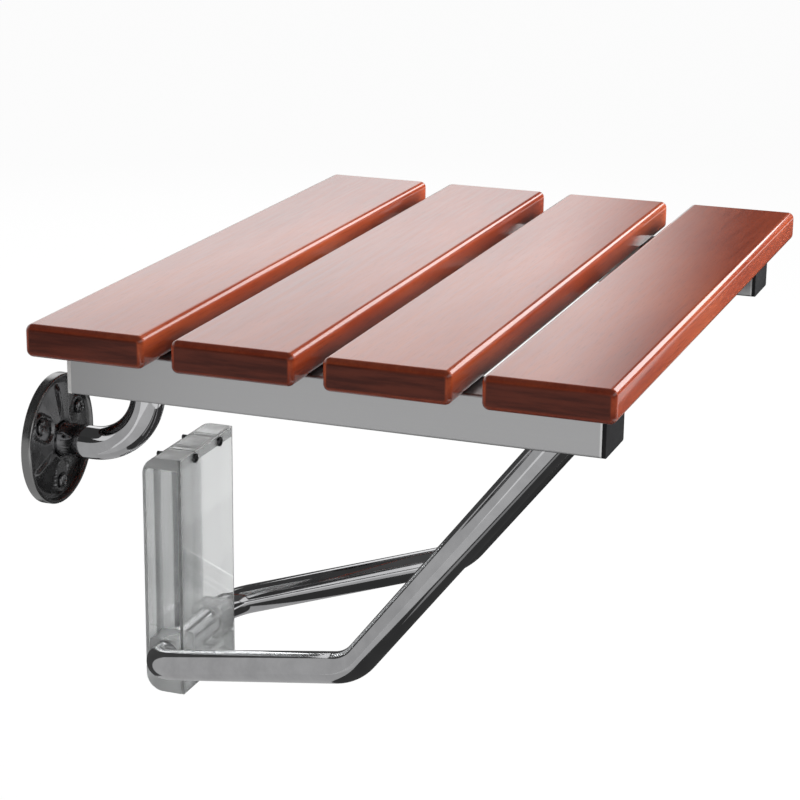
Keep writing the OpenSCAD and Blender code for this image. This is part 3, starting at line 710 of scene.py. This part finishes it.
# %% [markdown]
# ## The wall flanges
#
# A flange is a chromed casting: a dish with a raised rim, a low cone that rises to the post, three ridges
# that run down the cone and three round-ended pads for the screws between them, each with a fine raised
# outline and a dimple under its screw. The post sits in a socket with a narrow dark gap round it. Such a
# casting is a height over a flat disc, so a fine round net of points is lifted by a formula. The higher
# of two forms wins at each point, and a soft version of that choice leaves the fillets of a mould.

# %% Heights of the casting
def smooth_step(values, low, high):
    t = np.clip((values - low) / (high - low), 0.0, 1.0)
    return t * t * (3.0 - 2.0 * t)


def higher(a, b, fillet=0.7):
    """The higher of two heights, with a soft change between them."""
    return 0.5 * (a + b + np.sqrt((a - b) ** 2 + fillet ** 2)) - fillet / 4


DISH, HUB_RADIUS, HUB_HEIGHT, SOCKET_RADIUS = 3.0, 13.5, 7.0, 11.5
CONE_FOOT, CONE_SINK, HUB_EDGE, HUB_BEVEL = 37.0, 0.3, 12.6, 1.5
RIM_ROUND, OUTLINE_HEIGHT, DIMPLE_RADIUS, DIMPLE_DEPTH = 1.2, 0.7, 5.8, 0.5
RIDGE_RISE, RIDGE_HALF, RIDGE_END = 1.8, 3.6, 38.0
SCREW_CIRCLE, PAD_RADIUS, PAD_HEIGHT, PAD_START = 29.5, 8.0, 5.0, 21.5
SCREW_ANGLES = [math.radians(30 + 120 * i) for i in range(3)]


def casting_height(x, z):
    """Height over the wall in mm, at a place on the flange in mm from its middle."""
    radius = np.hypot(x, z)
    inner = FLANGE_RADIUS - RIM_WIDTH
    floor = DISH - CONE_SINK
    cone = floor + (HUB_HEIGHT - floor) * np.clip((CONE_FOOT - radius) / (CONE_FOOT - HUB_RADIUS), 0.0, 1.0)
    height = higher(cone, floor + smooth_step(radius, inner - 0.6, inner + 0.5) * (RIM_HEIGHT - floor))
    for angle in SCREW_ANGLES:
        turn = angle + math.pi / 3
        along = x * math.cos(turn) + z * math.sin(turn)
        across = np.abs(z * math.cos(turn) - x * math.sin(turn))
        rise = RIDGE_RISE * (1.0 - smooth_step(across, 0.6, RIDGE_HALF)) * (
            1.0 - smooth_step(along, RIDGE_END - 6.0, RIDGE_END))
        height = np.where(along > 0, higher(height, cone + rise, 0.3), height)
        along = x * math.cos(angle) + z * math.sin(angle)
        across = z * math.cos(angle) - x * math.sin(angle)
        reach = np.hypot(along - np.clip(along, PAD_START, SCREW_CIRCLE), across)
        flat = 1.0 - smooth_step(reach, PAD_RADIUS - 0.9, PAD_RADIUS)
        height = height + (PAD_HEIGHT - height) * flat
        height = height + OUTLINE_HEIGHT * (1.0 - smooth_step(np.abs(reach - PAD_RADIUS), 0.2, 1.0))
        dimple = 1.0 - smooth_step(np.hypot(along - SCREW_CIRCLE, across), DIMPLE_RADIUS - 1.0, DIMPLE_RADIUS)
        height = height - DIMPLE_DEPTH * dimple
    rounding = np.clip((radius - FLANGE_RADIUS + RIM_ROUND) / RIM_ROUND, 0.0, 1.0)
    height = height - RIM_ROUND * (1.0 - np.sqrt(1.0 - rounding ** 2))
    bevel = np.clip((HUB_EDGE - radius) / HUB_BEVEL, 0.0, 1.0) * HUB_BEVEL
    return np.where(radius < SOCKET_RADIUS, DISH, np.minimum(height, HUB_HEIGHT) - bevel)


tall = casting_height(np.array([0.0, HUB_RADIUS, 0.0]), np.array([0.0, 0.0, FLANGE_RADIUS - 0.5]))
print("height at the socket, hub and rim in mm:", [round(float(h), 2) for h in tall])

# %% Lift the net into two flanges
def skin(bm, rows):
    """Join rings of points into a closed surface with flat ends."""
    count = len(rows[0])
    for inner, outer in zip(rows, rows[1:]):
        for i in range(count):
            j = (i + 1) % count
            bm.faces.new((inner[i], inner[j], outer[j], outer[i]))
    bm.faces.new(rows[0])
    bm.faces.new(rows[-1])


def smooth_mesh(name, bm, sharp):
    """A mesh with outward faces that is smooth but for edges sharper than this many degrees."""
    bmesh.ops.recalc_face_normals(bm, faces=bm.faces)
    mesh = bpy.data.meshes.new(name)
    bm.to_mesh(mesh)
    bm.free()
    mesh.shade_smooth()
    mesh.set_sharp_from_angle(angle=math.radians(sharp))
    return mesh


def flange_net(bm, middle, side, rings, sectors):
    """A casting round a middle. A ring without a height of its own takes the casting's."""
    angles = np.arange(sectors) * 2 * math.pi / sectors
    rows = []
    for radius, height in rings:
        x, z = radius * np.cos(angles), radius * np.sin(angles)
        tops = casting_height(x, z) if height is None else np.full(sectors, height)
        rows.append([bm.verts.new(((middle - side * px) * MM, -h * MM, pz * MM))
                     for px, pz, h in zip(x, z, tops)])
    skin(bm, rows)


def finished(name, bm, material, body, replaced, sharp=40):
    """Turn a net into a piece that rides on a body."""
    mesh = smooth_mesh(name, bm, sharp)
    mesh.materials.append(material)
    piece = bpy.data.objects.new(name, mesh)
    scene.collection.objects.link(piece)
    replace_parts(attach(piece, body), *replaced)
    print(f"{name}: {len(mesh.polygons)} faces")
    return piece


FLANGE_SECTORS, CASTING_RINGS = 192, 82
net = bmesh.new()
socket = [2.0, 6.0, 10.0, SOCKET_RADIUS - 0.02, SOCKET_RADIUS + 0.02]
casting = np.linspace(SOCKET_RADIUS + 0.4, FLANGE_RADIUS - RIM_ROUND, CASTING_RINGS)
rim_edge = FLANGE_RADIUS - RIM_ROUND * (1.0 - np.sin(np.linspace(0.2, 1.0, 5) * math.pi / 2))
rings = [(r, None) for r in [*socket, *casting, *rim_edge]] + [(FLANGE_RADIUS, h) for h in (4.0, 2.0, 0.0)]
for side in (-1, 1):
    flange_net(net, side * POST_SIDE, side, rings, FLANGE_SECTORS)
finished("cast_flanges", net, chrome, "wall_mount", both("flange"))

# %% [markdown]
# ## Screws
#
# All the screws have a low domed head with a cross recess, in three sizes. The head is a turned profile
# with the recess pressed in, made once for each size. A tree then puts one at each hole and gives each a
# turn of its own, because no one stops every screw at the same angle.

# %% A screw and the tree that places it
def screw_mesh(name, head, tall, shank, length, tip=0.0, tip_length=0.0, outward="Y"):
    """A screw in mm whose head's seat is at zero. Its head points along -Y, or down for outward 'Z'."""
    sectors = 64
    angles = (np.arange(sectors) + 0.5) * 2 * math.pi / sectors
    bm = bmesh.new()
    rows = []
    profile = [(head * r, None) for r in np.linspace(0.06, 0.93, 20)]
    profile += [(head * 0.98, tall * 0.55), (head, tall * 0.35), (head, 0.0), (shank, 0.0), (shank, -length)]
    if tip_length > 0:
        profile += [(tip, -length), (tip, 0.4 - length - tip_length), (tip - 0.4, -length - tip_length)]
    for radius, height in profile:
        x, y = radius * np.cos(angles), radius * np.sin(angles)
        if height is None:
            dome = tall * (1.0 - 0.32 * (radius / head) ** 2.4)
            arm = np.minimum(np.abs(x), np.abs(y))
            reach = np.maximum(np.abs(x), np.abs(y))
            cut = (1.0 - smooth_step(arm, head * 0.09, head * 0.17)) * (
                1.0 - smooth_step(reach, head * 0.50, head * 0.66))
            heights = dome - cut * tall * 0.62 * (1.0 - 0.5 * reach / head)
        else:
            heights = np.full(sectors, height)
        if outward == "Y":
            rows.append([bm.verts.new((a * MM, -h * MM, b * MM)) for a, b, h in zip(x, y, heights)])
        else:
            rows.append([bm.verts.new((a * MM, b * MM, -h * MM)) for a, b, h in zip(x, y, heights)])
    skin(bm, rows)
    return smooth_mesh(name, bm, 45)


def placed_screws(graph, first, size):
    """The screw at each point, with a random turn about its axis."""
    head = graph.add("GeometryNodeObjectInfo", {}, {"Object": size["Screw"]}, "Geometry")
    each = graph.add("GeometryNodeInstanceOnPoints", {}, {"Points": first.of("Geometry"), "Instance": head})
    turn = graph.add("FunctionNodeRandomValue", {"data_type": "FLOAT"},
                     {"Min": 0.0, "Max": math.pi / 2, "Seed": size["Seed"]}, "Value")
    spin = graph.add("ShaderNodeVectorMath", {"operation": "SCALE"}, {0: size["Axis"], "Scale": turn})
    return graph.add("GeometryNodeRotateInstances", {}, {"Instances": each, "Rotation": spin})


def screws(name, places, mesh, axis, seed, body, replaced, material):
    pattern = bpy.data.objects.new(name + "_pattern", mesh)
    scene.collection.objects.link(pattern)
    points = bpy.data.meshes.new(name + "_points")
    points.from_pydata([tuple(c * MM for c in p) for p in places], [], [])
    piece = grow(name, placed_screws, {"Screw": pattern, "Axis": axis, "Seed": seed}, material, points)
    bpy.data.objects.remove(pattern)
    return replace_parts(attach(piece, body), *replaced)


SCREW_TALL, GUIDE_DEPTH, GUIDE_SCREW_SIDE, GUIDE_SCREW_ROWS = 2.2, 30.0, 21.0, (-57.0, -227.0)
RAIL_SIDE, RAIL_INSIDE, SLAT_MIDDLE, SLAT_SCREW_ROW = 204.0, 77.0, 67.0, 15.0
flange_places = [(side * (POST_SIDE - SCREW_CIRCLE * math.cos(a)), -PAD_HEIGHT, SCREW_CIRCLE * math.sin(a))
                 for side in (-1, 1) for a in SCREW_ANGLES]
flange_screw = screw_mesh("flange_screw", head=4.6, tall=SCREW_TALL, shank=2.5, length=PAD_HEIGHT,
                          tip=2.25, tip_length=5.0)
screws("flange_screw_set", flange_places, flange_screw, (0.0, 1.0, 0.0), 3,
       "wall_mount", both("flange_screws"), dark_bolt)
guide_places = [(x, -GUIDE_DEPTH, z) for x in (-GUIDE_SCREW_SIDE, GUIDE_SCREW_SIDE) for z in GUIDE_SCREW_ROWS]
guide_screw = screw_mesh("guide_screw", head=3.7, tall=SCREW_TALL, shank=1.9, length=GUIDE_DEPTH - 0.6)
screws("guide_screw_set", guide_places, guide_screw, (0.0, 1.0, 0.0), 5,
       "wall_mount", ["guide_screws"], black_steel)
slat_places = [(x, row - SLAT_MIDDLE - SLAT_PITCH / MM * i, RAIL_INSIDE) for x in (-RAIL_SIDE, RAIL_SIDE)
               for i in range(SLAT_COUNT) for row in (-SLAT_SCREW_ROW, SLAT_SCREW_ROW)]
slat_screw = screw_mesh("slat_screw", head=4.0, tall=SCREW_TALL, shank=2.0, length=16.0, outward="Z")
screws("slat_screw_set", slat_places, slat_screw, (0.0, 0.0, 1.0), 7, "seat", both("slat_screws"), bolt_steel)

# %% [markdown]
# ## The clear guide
#
# Clear plastic shows its edges more than its faces, so the guide's two solids need the small rounded
# edges that a mould gives. Their measured meshes are loose triangles. A copy is joined up, its flat faces
# are made whole, and only its long sharp edges are rounded, which leaves the screw holes as they are.
# Two shallow grooves cross the top, and the three parts between them fall away towards the wall. The
# front cover's back is drawn in by a hair, because two glass faces in one place can't be told apart.

# %% Round the guide's edges
def eased(node, width, shortest=1.2 * MM):
    """A joined copy of a node's mesh whose long sharp edges are rounded by this width."""
    bm = bmesh.new()
    bm.from_mesh(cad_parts[node].data)
    bmesh.ops.remove_doubles(bm, verts=bm.verts, dist=0.001 * MM)
    bmesh.ops.dissolve_limit(bm, angle_limit=math.radians(1), verts=bm.verts, edges=bm.edges)
    edges = [e for e in bm.edges if len(e.link_faces) == 2 and e.calc_face_angle() > math.radians(35)
             and e.calc_length() > shortest]
    bmesh.ops.bevel(bm, geom=edges, offset=width, offset_type="OFFSET", segments=2, profile=0.5,
                    affect="EDGES", clamp_overlap=True)
    return bm


GROOVE, GROOVE_HALF, GROOVE_DEEP, DROOP = 15 * MM, 1.1 * MM, 1.1 * MM, 2.2 * MM
FALL_START, FALL_MIDDLE, EDGE_BAND = -5 * MM, -2 * MM, 0.6 * MM
PART_CUTS = (-36, -30, -24, -6, 0, 6, 24, 30, 36)


def groove_top(bm):
    """Press grooves into the guide's top, and let each part between them fall away at the wall.

    The top is cut into strips first, so that it has points to move.
    """
    top = max(v.co.z for v in bm.verts)
    cuts = [side * GROOVE + s * GROOVE_HALF for side in (-1, 1) for s in (-1, 0, 1)]
    cuts += [x * MM for x in PART_CUTS]
    planes = [((x, 0, 0), (1, 0, 0)) for x in cuts]
    planes += [((0, y, 0), (0, 1, 0)) for y in (FALL_START, FALL_MIDDLE)]
    for point, normal in planes:
        upper = [v for v in bm.verts if v.co.z > top - 2.0 * MM]
        faces = {f for v in upper for f in v.link_faces}
        edges = {e for f in faces for e in f.edges}
        verts = {v for f in faces for v in f.verts}
        bmesh.ops.bisect_plane(bm, geom=[*verts, *edges, *faces], dist=1e-7, plane_co=point, plane_no=normal)
    for vert in bm.verts:
        x, y, z = vert.co
        if z > top - EDGE_BAND:
            off = abs(abs(x) - GROOVE)
            part = abs(GROOVE - off) / GROOVE
            fall = max(0.0, 1.0 - y / FALL_START) * DROOP * part ** 4
            vert.co.z -= (GROOVE_DEEP if off < 0.05 * MM else 0.0) + fall * (z - top + EDGE_BAND) / EDGE_BAND


COVER_BACK, COVER_GAP = -27.6 * MM, 0.06 * MM
BODY_ROUND, COVER_ROUND = 0.5 * MM, 0.35 * MM
body = eased("guide_body", BODY_ROUND)
groove_top(body)
finished("clear_guide_body", body, guide_clear, "wall_mount", ["guide_body"], 25)
cover = eased("guide_cover", COVER_ROUND)
for vert in cover.verts:
    if vert.co.y > COVER_BACK - 0.01 * MM:
        vert.co.y -= COVER_GAP
finished("clear_guide_cover", cover, cover_clear, "wall_mount", ["guide_cover"], 25)

# %% [markdown]
# ## The front caps
#
# The caps in the rails' open ends are moulded too, and their edges catch the light. The same helper rounds
# a copy of each, a little more than the guide.

# %% Round the front caps' edges
CAP_ROUND, CAP_SHORTEST = 0.8 * MM, 4 * MM
for name in both("front_cap"):
    finished(name + "_moulded", eased(name, CAP_ROUND, CAP_SHORTEST), black, "seat", [name], 30)
